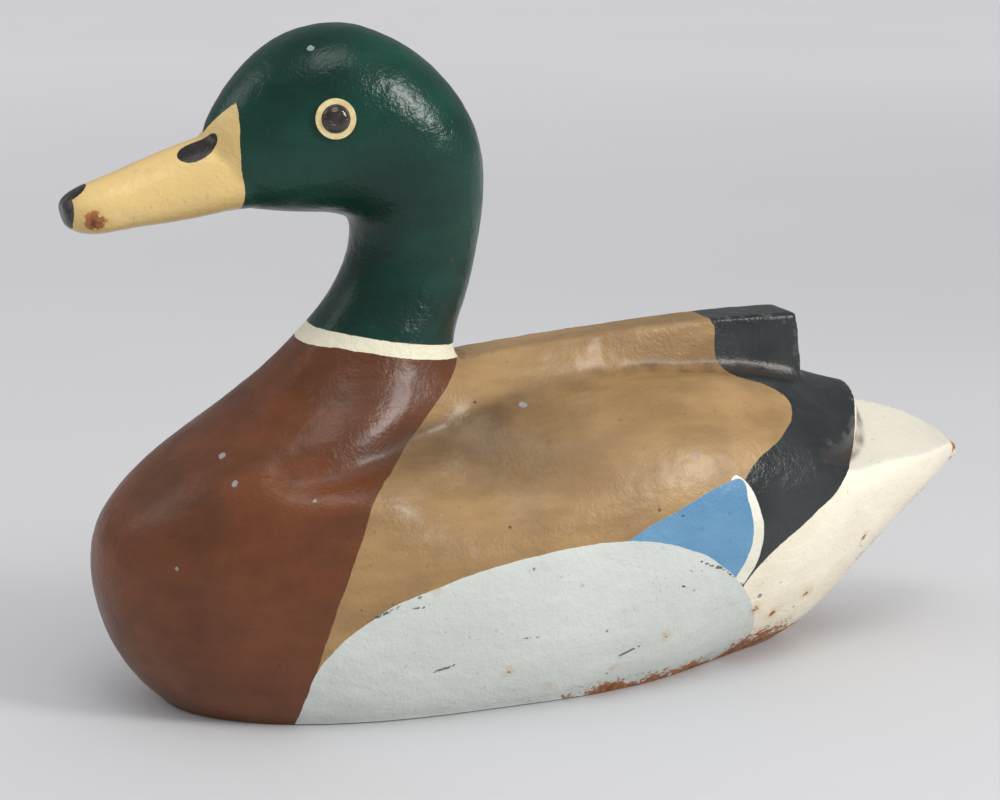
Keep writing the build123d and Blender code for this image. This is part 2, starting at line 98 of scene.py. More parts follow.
BILL_BACK_X = -118.0       # where the bill meets the face at the side
BILL_BULGE = (1.8, 182, 9)       # how far that edge bulges back, at which z, and over what height
BILL_LOWEST = 150          # nothing below this z is the bill
FOREHEAD_Z = 204.3         # lowest point of the green wedge on the forehead
FOREHEAD_SPREAD = 0.9      # its half width for each mm above that
NOSTRIL_AT = (-131.2, 7.6, 200.4)
NOSTRIL_HALF = (8.0, 4.7)  # half length and half height
NOSTRIL_RISE = 33          # degrees
NAIL_X = -175.0            # the black tip of the bill, and its lobe on top: x, z and radius
NAIL_LOBE = (-174.6, 187.0, 5.8)
RING_LEVEL = 127.0         # neck ring: its height at RING_X, its tilt and its half width
RING_X = -60.0
RING_TILT = -0.175
RING_HALF = 2.6
RING_DIP = (-78, 40, 0.006)      # in front of this x it curves down, for this far and at this rate
NECK_BACK = (-37.6, 124, 1.1)    # the head's paint ends at this x up to this z, and leans back above
FOLD_SHADE_REACH = (16, 3)     # painted shade and dirt along the fold: how far below it and above it
FOLD_SHADE_X = (-44, 38, -82)  # its middle, its reach and its front end

# Chips and stains on the left side, then on the right: x, z, radius
CHIPS = {
    -1: [(-129.5, 95, 1.5), (-128.4, 88, 1.2), (-92, 234, 1.4), (-17, 104, 1.7), (-104, 83, 0.9),
         (-71, 49, 0.8), (-150, 60, 0.8), (38, 88, 0.7), (-60, 75, 0.6), (66, 30, 1.1)],
    1: [(-140, 70, 1.4), (-60, 190, 1.2), (10, 92, 1.5), (-30, 40, 1.1), (40, 66, 0.8), (-95, 225, 1.0),
        (90, 90, 1.3), (-118, 40, 0.9)],
}
RUST_SPOTS = {
    -1: [(-65.3, 50.8, 1.6), (-36.7, 16.4, 2.6), (24.2, 21.7, 2.4), (65.6, 24, 3.0), (-168.5, 177, 5.2),
         (5, 12, 2.0), (76, 20, 3.5), (175, 66, 4.0), (-20, 7, 2.0), (92, 25, 3.0), (120, 42, 2.5)],
    1: [(-50, 12, 2.8), (10, 9, 3.2), (70, 18, 3.4), (-169, 177, 2.4), (175, 66, 4.0), (100, 30, 3.0),
        (20, 48, 1.4), (140, 58, 2.6)],
}
SCRATCHES = [((31, 47), (37, 46)), ((36, 50), (44, 46)), ((44, 47), (52, 41)), ((28, 42), (34, 39)),
             ((-90, 41), (-78, 46)), ((-80, 44), (-70, 45)), ((-66, 20), (-58, 22)), ((6, 17), (14, 20)),
             ((-34, 30), (-27, 29))]
SCRATCH_HALF = 0.75


def smooth_line(points, steps=8):
    """Points of a Catmull-Rom curve through the given ones."""
    points = np.array(points, float)
    ends = np.vstack([2 * points[0] - points[1], points, 2 * points[-1] - points[-2]])
    curve = []
    for a, b, c, d in zip(ends, ends[1:], ends[2:], ends[3:]):
        for t in np.arange(steps) / steps:
            curve.append(0.5 * (2 * b + (c - a) * t + (2 * a - 5 * b + 4 * c - d) * t**2
                                + (3 * b - a - 3 * c + d) * t**3))
    return np.array(curve + [points[-1]])


def line_distance(places, line):
    """Distance from each (x, z) place to a line of points."""
    best = np.full(len(places), 1e9)
    for start, end in zip(line, line[1:]):
        along = end - start
        share = np.clip((places - start) @ along / max(along @ along, 1e-12), 0, 1)
        best = np.minimum(best, np.hypot(*(places - start - share[:, None] * along).T))
    return best


def inside(places, line):
    """Whether each place is inside the closed outline."""
    hit = np.zeros(len(places), bool)
    x, z = places.T
    for (ax, az), (bx, bz) in zip(line, np.roll(line, -1, axis=0)):
        crosses = (az > z) != (bz > z)
        if az != bz:
            hit ^= crosses & (x < (bx - ax) * (z - az) / (bz - az) + ax)
    return hit


def coat_depth(places, edge, corners):
    """Depth in mm inside a coat of paint: bounded by a smooth edge, and closed round far corners."""
    line = smooth_line(edge)
    outline = np.vstack([line, np.array(corners, float)]) if corners else line
    return np.where(inside(places, outline), 1.0, -1.0) * line_distance(places, line)


def spot_depth(p, spots):
    """Depth in mm inside the nearest of the spots, each centred on the widest skin at its (x, z)."""
    best = np.full(len(p), -99.0)
    for sign, places in spots.items():
        if sign * p[:, 1].mean() < 0:
            continue
        for x, z, radius in places:
            apart = np.hypot(p[:, 0] - x, p[:, 2] - z) - 0.02 * sign * p[:, 1]
            centre = p[np.argmin(apart)]
            best = np.maximum(best, radius - np.linalg.norm(p - centre, axis=1))
    return best


def paint_fields(p, hollow, up):
    """Every float attribute of the skin that its material reads, in mm or from 0 to 1."""
    x, y, z = p.T
    flat = p[:, [0, 2]]
    wide = np.abs(y)
    dip_x, dip_reach, dip_rate = RING_DIP
    ring = z - RING_LEVEL - RING_TILT * (x - RING_X) + dip_rate * np.clip(dip_x - x, 0, dip_reach) ** 2
    before_back = NECK_BACK[0] + NECK_BACK[2] * np.maximum(z - NECK_BACK[1], 0) - x
    turn = math.radians(NOSTRIL_RISE)
    offset = np.stack([x, wide, z], 1) - np.array(NOSTRIL_AT)
    along = offset @ np.array([math.cos(turn), 0, math.sin(turn)])
    across = np.sqrt(np.maximum((offset**2).sum(1) - along**2, 0))
    nostril = (1 - np.hypot(along / NOSTRIL_HALF[0], across / NOSTRIL_HALF[1])) * NOSTRIL_HALF[1]
    lobe = NAIL_LOBE[2] - np.hypot(x - NAIL_LOBE[0], wide)
    nail = np.maximum(NAIL_X - x, np.minimum(lobe, z - NAIL_LOBE[1] + 2.5))
    bulge, bulge_z, bulge_reach = BILL_BULGE
    bill_back = BILL_BACK_X + bulge * np.exp(-((z - bulge_z) / bulge_reach) ** 2)
    bill = np.minimum(bill_back - x, wide - FOREHEAD_SPREAD * (z - FOREHEAD_Z))
    bill = np.where(z < BILL_LOWEST, -20, bill)
    # Painted shade and dirt along the fold, strongest just below it.
    fold = line_distance(flat, smooth_line(FOLD_LINE))
    below = flat[:, 1] < np.interp(x, *np.array(FOLD_LINE).T)
    middle, reach, front = FOLD_SHADE_X
    fold_shade_and_dirt = np.exp(-((fold / np.where(below, *FOLD_SHADE_REACH)) ** 2))
    fold_shade_and_dirt = fold_shade_and_dirt * np.exp(-(((x - middle) / reach) ** 2)) * (x > front)
    scratch = np.full(len(p), -99.0)
    for ends in SCRATCHES:
        scratch = np.maximum(scratch, SCRATCH_HALF - line_distance(flat, np.array(ends, float)))
    scratch = np.where(y < 0, scratch, -9)
    # Rust: along the lowest 9 mm, strongest behind the middle; under the tail; and at its tip
    rim = np.clip(1 - z / 9, 0, 1) * np.clip((x + 40) / 50, 0.12, 1) * np.clip((90 - x) / 25, 0.35, 1)
    low_edge = np.interp(x, (60, 100, 142, 178), (4, 4, 36, 60))
    under_tail = np.clip(1 - (z - low_edge) / 16, 0, 1) * np.clip((x - 55) / 10, 0, 1)
    tip = np.clip((x - 169) / 9, 0, 1)
    return {
        "coat_brown": coat_depth(flat, BROWN_EDGE, [(-300, -12), (-300, 300), (-30, 300)]),
        "coat_grey": coat_depth(flat, GREY_EDGE, []),
        "coat_black": coat_depth(flat, BLACK_EDGE, [(300, 30), (300, 140)]),
        "coat_blue": coat_depth(flat, BLUE_EDGE, []),
        "coat_bar": coat_depth(flat, BAR_EDGE, []),
        "coat_tail": coat_depth(flat, TAIL_EDGE, [(300, -12), (300, 112)]),
        "coat_ring": np.minimum(RING_HALF - np.abs(ring), before_back),
        "coat_green": np.minimum(ring - RING_HALF, before_back),
        "coat_bill": bill,
        "coat_marks": np.maximum(nostril, nail),
        "chip": spot_depth(p, CHIPS),
        "scratch": scratch,
        "rust_spot": spot_depth(p, RUST_SPOTS),
        "rust_zone": np.maximum(rim, np.maximum(0.8 * under_tail, 0.8 * tip)),
        "hollow": hollow,
        "up": up,
        "fold_shade_and_dirt": fold_shade_and_dirt,
    }


# ---------------------------------------------------------------- the skin's mesh


def add_flank(mesh):
    """A wedge inside the back whose sides are the flat flanks of the ridge."""
    loops = []
    for x, top_half, top, foot_half, foot in FLANK_ROWS:
        corners = [(-top_half, top), (top_half, top), (foot_half, foot), (foot_half - 4, foot - 9),
                   (4 - foot_half, foot - 9), (-foot_half, foot)]
        loops.append([mesh.verts.new((x * MM, y * MM, z * MM)) for y, z in corners])
    for near, far in zip(loops, loops[1:]):
        for k in range(len(near)):
            mesh.faces.new((near[k - 1], near[k], far[k], far[k - 1]))
    mesh.faces.new(loops[0])
    mesh.faces.new(loops[-1])


def outer_surface():
    """A closed mesh of the bird's outside, from the two half shells, with a skirt and the flank's wedge."""
    mesh = bmesh.new()
    for name in ("left_half_shell", "right_half_shell"):
        mesh.from_mesh(frame["nodes"][name].data)
    bmesh.ops.remove_doubles(mesh, verts=mesh.verts, dist=0.01 * MM)
    eye_low, eye_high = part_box("eye_dome_right")
    eye_x, eye_z = (eye_low[0] + eye_high[0]) / 2, (eye_low[2] + eye_high[2]) / 2
    drop = []
    for face in mesh.faces:
        on_seam = all(abs(v.co.y) < 0.02 * MM for v in face.verts)
        on_floor = all(abs(v.co.z) < 0.02 * MM for v in face.verts)
        bore = all(math.hypot(v.co.x - eye_x, v.co.z - eye_z) < EYE_BORE * MM for v in face.verts)
        if on_seam or on_floor or bore:
            drop.append(face)
    bmesh.ops.delete(mesh, geom=drop, context="FACES")
    mesh.verts.ensure_lookup_table()
    start = min(mesh.verts, key=lambda v: v.co.x)
    keep, queue = {start}, [start]
    while queue:
        for edge in queue.pop().link_edges:
            for other in edge.verts:
                if other not in keep:
                    keep.add(other)
                    queue.append(other)
    bmesh.ops.delete(mesh, geom=[v for v in mesh.verts if v not in keep], context="VERTS")
    rim = [e for e in mesh.edges if e.is_boundary and all(v.co.z < 0.05 * MM for v in e.verts)]
    skirt = bmesh.ops.extrude_edge_only(mesh, edges=rim)["geom"]
    skirt_verts = [g for g in skirt if isinstance(g, bmesh.types.BMVert)]
    bmesh.ops.translate(mesh, verts=skirt_verts, vec=(0, 0, -SKIRT * MM))
    bmesh.ops.holes_fill(mesh, edges=[e for e in mesh.edges if e.is_boundary], sides=0)
    bmesh.ops.triangulate(mesh, faces=mesh.faces)
    add_flank(mesh)
    bmesh.ops.recalc_face_normals(mesh, faces=mesh.faces)
    data = bpy.data.meshes.new("outside")
    mesh.to_mesh(data)
    mesh.free()
    return data


def remeshed(data):
    """The mesh rebuilt on an even grid."""
    piece = bpy.data.objects.new("grid", data)
    bpy.context.collection.objects.link(piece)
    modifier = piece.modifiers.new("grid", "REMESH")
    modifier.mode = "VOXEL"
    modifier.voxel_size = VOXEL * MM
    bpy.context.view_layer.update()
    done = bpy.data.meshes.new_from_object(piece.evaluated_get(bpy.context.evaluated_depsgraph_get()))
    bpy.data.objects.remove(piece)
    return done


def read_points(data):
    """The mesh's points in mm."""
    points = np.empty(len(data.vertices) * 3)
    data.vertices.foreach_get("co", points)
    return points.reshape(-1, 3) / MM


def write_points(data, points):
    """Move the mesh's points to these places in mm."""
    data.vertices.foreach_set("co", (points * MM).ravel())
    data.update()


def read_edges(data):
    edges = np.empty(len(data.edges) * 2, int)
    data.edges.foreach_get("vertices", edges)
    return edges.reshape(-1, 2)


def point_normals(data):
    normals = np.empty(len(data.vertices) * 3)
    data.vertex_normals.foreach_get("vector", normals)
    return normals.reshape(-1, 3)


def neighbour_mean(values, edges):
    """The mean of each point's neighbours, for one column or several."""
    count = np.bincount(edges.ravel(), minlength=len(values))
    a, b = edges.T
    columns = values.reshape(len(values), -1).T
    total = [np.bincount(a, c[b], len(c)) + np.bincount(b, c[a], len(c)) for c in columns]
    return (np.array(total) / count).T.reshape(values.shape)


def relaxed(values, edges, passes, weight=0.5):
    """The values after some passes towards their neighbours' mean. The weight may differ by point."""
    share = np.reshape(weight, (-1,) + (1,) * (values.ndim - 1))
    for _ in range(passes):
        values = values + share * (neighbour_mean(values, edges) - values)
    return values


def surface_bend(data, points, edges):
    """Twice the mean curvature in 1/mm, above zero in hollows."""
    lean = ((neighbour_mean(points, edges) - points) * point_normals(data)).sum(1)
    return relaxed(lean * 4 / VOXEL**2, edges, 3)


def soft_share(p, place):
    """From 0 to 1: how far each point belongs to one of the places that are smoothed further."""
    x, z, reach_x, reach_z, least_y, _ = place
    reach = np.hypot((p[:, 0] - x) / reach_x, (p[:, 2] - z) / reach_z)
    return np.clip(2 * (1 - reach), 0, 1) * np.clip((np.abs(p[:, 1]) - least_y) / 6, 0, 1)


def crease(p):
    """Height added along the soft crease that divides the neck from the shoulder."""
    line = smooth_line(FOLD_LINE)
    away = line_distance(p[:, [0, 2]], line) * np.where(p[:, 2] > np.interp(p[:, 0], *line.T), 1, -1)
    along = np.exp(-(((p[:, 0] - CREASE_X[0]) / CREASE_X[1]) ** 4))
    along = along * np.clip((np.abs(p[:, 1]) - CREASE_FROM_MIDDLE) / 8, 0, 1)
    dip = np.exp(-((away / CREASE_SPAN) ** 2))
    swell = np.exp(-(((away + 2 * CREASE_SPAN) / (1.4 * CREASE_SPAN)) ** 2))
    return CREASE_DEPTH * (0.6 * swell - dip) * along


def relief(point):
    """Height of the pebbled and slightly uneven surface at one place in mm."""
    place = Vector(point)
    slow = noise.noise(place / 24) * UNEVEN
    fine = noise.noise(place / 3.4) * PEBBLE
    return slow + fine + noise.noise(place / 7 + Vector((9, 3, 5))) * PEBBLE


def painted_skin():
    """The whole outside as one mesh, with its fillets, relief, normals and hollows worked out."""
    data = remeshed(outer_surface())
    points, edges = read_points(data), read_edges(data)
    points = relaxed(points, edges, EVEN_PASSES)
    write_points(data, points)
    sharp = np.clip((surface_bend(data, points, edges) - SHARP_BEND[0]) / SHARP_BEND[1], 0, 1)
    sharp = np.clip(relaxed(sharp, edges, 6) * 1.6, 0, 1)
    from_step = np.abs(np.hypot(points[:, 0] - STEP_ARC[0], points[:, 1]) - STEP_ARC[1])
    sharp *= np.where(points[:, 0] > STEP_FROM_X, np.clip((from_step - 4) / 6, 0.06, 1), 1)
    points = relaxed(points, edges, FILLET_PASSES, 0.5 * sharp)
    for place in SOFT_PLACES:
        points = relaxed(points, edges, place[-1], 0.5 * soft_share(points, place))
    write_points(data, points)
    points = points + point_normals(data) * crease(points)[:, None]
    write_points(data, points)
    bend = relaxed(surface_bend(data, points, edges), edges, 4)
    points = points + point_normals(data) * np.array([relief(p) for p in points])[:, None]
    write_points(data, points)
    normals = point_normals(data)
    for k, axis in enumerate("xyz"):
        layer = data.attributes.new("skin_" + axis, "FLOAT", "POINT")
        layer.data.foreach_set("value", normals[:, k].copy())
    layer = data.attributes.new("bend", "FLOAT", "POINT")
    layer.data.foreach_set("value", bend)
    return data


def column(data, name):
    """One number for each point of the mesh, read from an attribute."""
    values = np.empty(len(data.vertices))
    data.attributes[name].data.foreach_get("value", values)
    return values


def cut_half(whole, side):
    """The part of the skin on one side of the centreline and above the floor."""
    mesh = bmesh.new()
    mesh.from_mesh(whole)
    for where, facing in (((0, 0, 0), (0, -side, 0)), ((0, 0, 0), (0, 0, -1))):
        everything = mesh.verts[:] + mesh.edges[:] + mesh.faces[:]
        bmesh.ops.bisect_plane(mesh, geom=everything, dist=1e-6, plane_co=where, plane_no=facing,
                               clear_outer=True)
    data = bpy.data.meshes.new("half")
    mesh.to_mesh(data)
    mesh.free()
    return data


def sheet_from(half, name):
    """A closed sheet: the half skin, its offset inside and a band that joins their borders."""
    points = read_points(half)
    normals = np.stack([column(half, "skin_" + axis) for axis in "xyz"], 1)
    normals /= np.linalg.norm(normals, axis=1, keepdims=True)
    inner = points - normals * SHEET
    inner[:, 1] = np.where(np.abs(points[:, 1]) < 1e-3, 0, inner[:, 1])
    inner[:, 2] = np.where(np.abs(points[:, 2]) < 1e-3, 0, inner[:, 2])
    outer_faces = [tuple(face.vertices) for face in half.polygons]
    count = len(points)
    inner_faces = [tuple(v + count for v in reversed(face)) for face in outer_faces]
    used = {}                  # every directed edge, in a fixed order
    for face in outer_faces:
        for a, b in zip(face, face[1:] + face[:1]):
            used[(a, b)] = True
    band = [(b, a, a + count, b + count) for a, b in used if (b, a) not in used]
    data = bpy.data.meshes.new(name)
    data.from_pydata(np.vstack([points, inner]) * MM, [], outer_faces + inner_faces + band)
    data.update()
    corner_normals = []
    both = np.vstack([normals, -normals])
    for index, face in enumerate(data.polygons):
        on_band = index >= 2 * len(outer_faces)
        for v in face.vertices:
            corner_normals.append(tuple(face.normal) if on_band else tuple(both[v]))
    for face in data.polygons:
        face.use_smooth = True
    data.normals_split_custom_set(corner_normals)
    hollow = np.clip(column(half, "bend") / BEND_FULL, -1, 1)
    for field, values in paint_fields(points, hollow, normals[:, 2]).items():
        layer = data.attributes.new(field, "FLOAT", "POINT")
        layer.data.foreach_set("value", np.concatenate([values, values]))
    return data


# ---------------------------------------------------------------- node helpers


class Paint:
    """A material's node tree, with short calls for the few node kinds that are used."""

    def __init__(self, name):
        self.material = bpy.data.materials.new(name)
        self.material.use_nodes = True
        self.nodes = self.material.node_tree.nodes
        self.links = self.material.node_tree.links
        self.shader = self.nodes["Principled BSDF"]
        self.place = self.nodes.new("ShaderNodeTexCoord").outputs["Object"]

    def plug(self, socket, value):
        """Link another socket to this one, or set its value."""
        if isinstance(value, bpy.types.NodeSocket):
            self.links.new(value, socket)
        elif isinstance(value, tuple) and len(value) == 3 and socket.type == "RGBA":
            socket.default_value = (*value, 1)
        else:
            socket.default_value = value

    def math(self, kind, a, b=0.0):
        node = self.nodes.new("ShaderNodeMath")
        node.operation = kind
        self.plug(node.inputs[0], a)
        self.plug(node.inputs[1], b)
        return node.outputs[0]

    def noise(self, scale, detail=2.0, stretch=(1, 1, 1), roughness=0.5):
        node = self.nodes.new("ShaderNodeTexNoise")
        self.plug(node.inputs["Scale"], scale)
        self.plug(node.inputs["Detail"], detail)
        self.plug(node.inputs["Roughness"], roughness)
        mapping = self.nodes.new("ShaderNodeMapping")
        mapping.inputs["Scale"].default_value = stretch
        self.links.new(self.place, mapping.inputs["Vector"])
        self.links.new(mapping.outputs[0], node.inputs["Vector"])
        return node.outputs["Fac"]

    def cells(self, scale):
        node = self.nodes.new("ShaderNodeTexVoronoi")
        self.plug(node.inputs["Scale"], scale)
        self.links.new(self.place, node.inputs["Vector"])
        return node.outputs["Distance"]

    def field(self, name):
        node = self.nodes.new("ShaderNodeAttribute")
        node.attribute_name = name
        return node.outputs["Fac"]

    def ramp(self, value, low, high, out_low=0.0, out_high=1.0):
        """A smooth step from one number to another as the value goes from low to high."""
        node = self.nodes.new("ShaderNodeMapRange")
        node.interpolation_type = "SMOOTHSTEP"
        for socket, number in zip(("Value", "From Min", "From Max", "To Min", "To Max"),
                                  (value, low, high, out_low, out_high)):
            self.plug(node.inputs[socket], number)
        return node.outputs[0]

    def mix(self, share, a, b):
        node = self.nodes.new("ShaderNodeMix")
        node.data_type = "RGBA"
        self.plug(node.inputs["Factor"], share)
        self.plug(node.inputs["A"], a)
        self.plug(node.inputs["B"], b)
        return node.outputs["Result"]

    def bump(self, height, strength, distance, normal=None):
        node = self.nodes.new("ShaderNodeBump")
        self.plug(node.inputs["Strength"], strength)
        self.plug(node.inputs["Distance"], distance)
        self.plug(node.inputs["Height"], height)
        if normal:
            self.links.new(normal, node.inputs["Normal"])
        return node.outputs[0]

    def finish(self, colour, rough, normal, **fixed):
        """Set up the shader. The fixed values are the same all over the surface."""
        self.plug(self.shader.inputs["Base Color"], colour)
        self.plug(self.shader.inputs["Roughness"], rough)
        self.plug(self.shader.inputs["Normal"], normal)
        for socket, value in fixed.items():
            label = socket.replace("_", " ").title().replace("Ior", "IOR")
            self.plug(self.shader.inputs[label], value)
        return self.material


# ---------------------------------------------------------------- materials

# Each coat in the order it was brushed on: field, main colour, second colour
COATS = [
    ("coat_black", (0.014, 0.018, 0.020), (0.028, 0.033, 0.034)),
    ("coat_bar", (0.74, 0.72, 0.62), (0.62, 0.60, 0.50)),
    ("coat_blue", (0.085, 0.215, 0.365), (0.12, 0.27, 0.42)),
    ("coat_tail", (0.80, 0.745, 0.61), (0.70, 0.64, 0.50)),
    ("coat_brown", (0.150, 0.045, 0.014), (0.085, 0.027, 0.009)),
    ("coat_grey", (0.57, 0.60, 0.565), (0.50, 0.53, 0.50)),
    ("coat_ring", (0.76, 0.73, 0.58), (0.66, 0.62, 0.46)),
    ("coat_green", (0.0025, 0.046, 0.030), (0.0015, 0.024, 0.018)),
    ("coat_bill", (0.66, 0.475, 0.195), (0.56, 0.39, 0.15)),
    ("coat_marks", (0.016, 0.014, 0.014), (0.030, 0.027, 0.024)),
]
TAN = (0.36, 0.222, 0.095)
TAN_DARK = (0.235, 0.138, 0.054)
# painted shade for the tail's upward-facing top
TAIL_TOP_SHADE = (0.53, 0.51, 0.44)
# dark brown for real dirt specks and pits, and for painted shade in hollows and along the fold
DIRT_AND_SHADE = (0.050, 0.028, 0.014)
RUST_DARK = (0.13, 0.040, 0.018)
RUST_BRIGHT = (0.42, 0.16, 0.045)
STAIN = (0.50, 0.28, 0.08)
PRIMER = (0.24, 0.25, 0.25)
# wear and painted highlight, lighter on convex ridges
WEAR_AND_SHEEN = (0.55, 0.52, 0.45)
SCRATCHED = (0.03, 0.03, 0.028)
GLOSSIER = (("coat_green", -0.10), ("coat_black", -0.10), ("coat_brown", -0.03), ("coat_blue", -0.05))
SOFT_EDGE = 0.14           # half the soft border between two coats, in mm


def shell_enamel():
    """Thick brushed enamel in the drake's colours, over pebbled sheet, chipped and rusting, with painted
    shade in its hollows, along the fold and on the tail's top, and a faint painted highlight on its ridges.
    """
    p = Paint("shell_enamel")
    slow = p.noise(22, 3)
    streak = p.noise(70, 4, (0.35, 1, 1.4), 0.6)
    fine = p.noise(900, 3)
    wobble = p.math("ADD", p.math("MULTIPLY", p.math("SUBTRACT", p.noise(110, 2), 0.5), 1.3),
                    p.math("MULTIPLY", p.math("SUBTRACT", fine, 0.5), 0.35))
    clouds = p.math("ADD", p.math("MULTIPLY", slow, 0.6), p.math("MULTIPLY", streak, 0.4))
    patch = p.ramp(clouds, 0.36, 0.66)
    colour = p.mix(patch, TAN, TAN_DARK)
    edges = 0.0
    for name, main, second in COATS:
        mask = p.ramp(p.math("ADD", p.field(name), wobble), -SOFT_EDGE, SOFT_EDGE)
        colour = p.mix(mask, colour, p.mix(patch, main, second))
        edges = p.math("ADD", edges, mask)
    # Painted shade: the white tail is painted greyer where its top faces up.
    tail_top_shade = p.ramp(p.field("up"), 0.35, 0.8, 0.0, 0.75)
    colour = p.mix(p.math("MULTIPLY", p.ramp(p.field("coat_tail"), -0.2, 0.2), tail_top_shade), colour, TAIL_TOP_SHADE)
    speck = p.ramp(p.noise(520, 2), 0.66, 0.74)
    colour = p.mix(p.math("MULTIPLY", speck, 0.22), colour, DIRT_AND_SHADE)
    # Painted shade and dirt: darker in hollows, such as the foot of the step and the creases.
    hollow = p.ramp(p.field("hollow"), 0.15, 0.95)
    hollow_shade_and_dirt = p.math("MULTIPLY", hollow, p.ramp(p.noise(140, 4), 0.3, 0.7, 0.25, 0.75))
    # Painted shade and dirt: darker along the fold below the ridge and the neck.
    fold_shade_and_dirt = p.math("MULTIPLY", p.field("fold_shade_and_dirt"), p.ramp(p.noise(60, 4), 0.3, 0.7, 0.60, 0.86))
    colour = p.mix(p.math("MAXIMUM", hollow_shade_and_dirt, fold_shade_and_dirt), colour, DIRT_AND_SHADE)
    # Wear and painted highlight: faint lighter patches along convex ridges.
    on_ridge = p.ramp(p.field("hollow"), -0.9, -0.35, 1, 0)
    colour = p.mix(p.math("MULTIPLY", on_ridge, p.ramp(p.noise(260, 3), 0.5, 0.62, 0, 0.07)), colour, WEAR_AND_SHEEN)

    rust_grain = p.noise(330, 6, roughness=0.68)
    rust_cloud = p.noise(75, 4)
    zone = p.field("rust_zone")
    rust_level = p.math("ADD", p.math("MULTIPLY", zone, 0.30), p.math("MULTIPLY", rust_cloud, 0.34))
    rusty = p.ramp(p.math("ADD", rust_level, p.math("MULTIPLY", rust_grain, 0.50)), 0.60, 0.64)
    rusty = p.math("MULTIPLY", rusty, p.ramp(zone, 0.02, 0.3))
    halo = p.math("MULTIPLY", p.ramp(zone, 0.05, 1.0), p.ramp(rust_cloud, 0.4, 0.7, 0.0, 0.32))
    colour = p.mix(halo, colour, STAIN)
    ragged = p.math("MULTIPLY", p.math("SUBTRACT", rust_grain, 0.5), 9.0)
    spot_edge = p.math("ADD", p.field("rust_spot"), ragged)
    stain = p.ramp(spot_edge, -1.8, 2.0, 0, 0.35)
    colour = p.mix(stain, colour, STAIN)
    spot = p.ramp(spot_edge, 1.7, 2.5)
    freckle = p.math("MULTIPLY", p.ramp(p.noise(560, 3), 0.53, 0.60),
                     p.math("MULTIPLY", p.ramp(zone, 0.12, 0.5), p.ramp(rust_cloud, 0.42, 0.58)))
    rust = p.math("MAXIMUM", rusty, p.math("MAXIMUM", spot, freckle))
    rust_colour = p.mix(p.ramp(rust_grain, 0.35, 0.68), RUST_DARK, RUST_BRIGHT)
    colour = p.mix(rust, colour, rust_colour)

    torn = p.math("MULTIPLY", p.math("SUBTRACT", p.noise(700, 2), 0.5), 1.4)
    chip = p.ramp(p.math("ADD", p.field("chip"), torn), -0.08, 0.10)
    colour = p.mix(chip, colour, PRIMER)
    broken = p.ramp(p.noise(420, 3), 0.44, 0.5)
    scratch = p.math("MULTIPLY", p.ramp(p.field("scratch"), 0.15, 0.45), broken)
    colour = p.mix(p.math("MULTIPLY", scratch, 0.85), colour, SCRATCHED)
    pit = p.math("MULTIPLY", p.ramp(p.cells(115), 0.055, 0.085, 1, 0), p.ramp(p.noise(38, 2), 0.52, 0.58))
    colour = p.mix(p.math("MULTIPLY", pit, 0.75), colour, DIRT_AND_SHADE)

    rough = p.ramp(p.noise(45, 4), 0.25, 0.8, 0.37, 0.50)
    for name, change in GLOSSIER:
        rough = p.math("ADD", rough, p.ramp(p.field(name), -0.1, 0.1, 0.0, change))
    rough = p.math("ADD", rough, p.math("MULTIPLY", p.math("MAXIMUM", rust, chip), 0.45))
    rough = p.math("ADD", rough, p.math("MULTIPLY", hollow_shade_and_dirt, 0.25))
    pebble = p.math("ADD", p.math("MULTIPLY", p.noise(820, 2), 0.65),
                    p.math("MULTIPLY", p.noise(330, 2), 0.75))
    normal = p.bump(pebble, 0.9, 0.00034)
    brush = p.noise(420, 3, (0.18, 1, 1), 0.6)
    normal = p.bump(brush, 0.35, 0.00012, normal)
    dents = p.math("MAXIMUM", chip, p.math("MAXIMUM", pit, scratch))
    layers = p.math("SUBTRACT", edges, p.math("MULTIPLY", dents, 2.0))
    normal = p.bump(layers, 0.6, 0.00009, normal)
    normal = p.bump(p.math("MULTIPLY", rust, rust_grain), 0.8, 0.0004, normal)
    return p.finish(colour, rough, normal, coat_weight=0.12, coat_roughness=0.2, ior=1.38)


def plain_finish(name, light, dark, metal, rough, scale=160, rust=0.0, scuff=None, pit_depth=0.0001,
                 coat=0.0):
    """A finish with cloudy colour and fine grain and, where asked, scuffs and rust in patches."""
    p = Paint(name)
    cloud = p.ramp(p.noise(scale, 4), 0.3, 0.7)
    colour = p.mix(cloud, light, dark)
    grain = p.noise(scale * 6, 4, roughness=0.65)
    metallic = metal
    rough_now = p.ramp(grain, 0.25, 0.75, rough - 0.08, rough + 0.12)
    if scuff:
        scuffed = p.ramp(p.noise(scale * 2.2, 5, (0.4, 1, 1), 0.7), 0.58, 0.66)
        colour = p.mix(p.math("MULTIPLY", scuffed, 0.7), colour, scuff)
    if rust:
        rusty = p.ramp(p.noise(scale * 0.7, 6, roughness=0.7), 0.62 - 0.2 * rust, 0.70 - 0.2 * rust)
        colour = p.mix(rusty, colour, p.mix(grain, RUST_DARK, RUST_BRIGHT))
        rough_now = p.math("ADD", rough_now, p.math("MULTIPLY", rusty, 0.35))
        if metal:
            metallic = p.math("MULTIPLY", p.math("SUBTRACT", 1.0, rusty), metal)
    normal = p.bump(grain, 0.6, pit_depth)
    material = p.finish(colour, rough_now, normal, coat_weight=coat, coat_roughness=0.12)
    p.plug(p.shader.inputs["Metallic"], metallic)
    return material


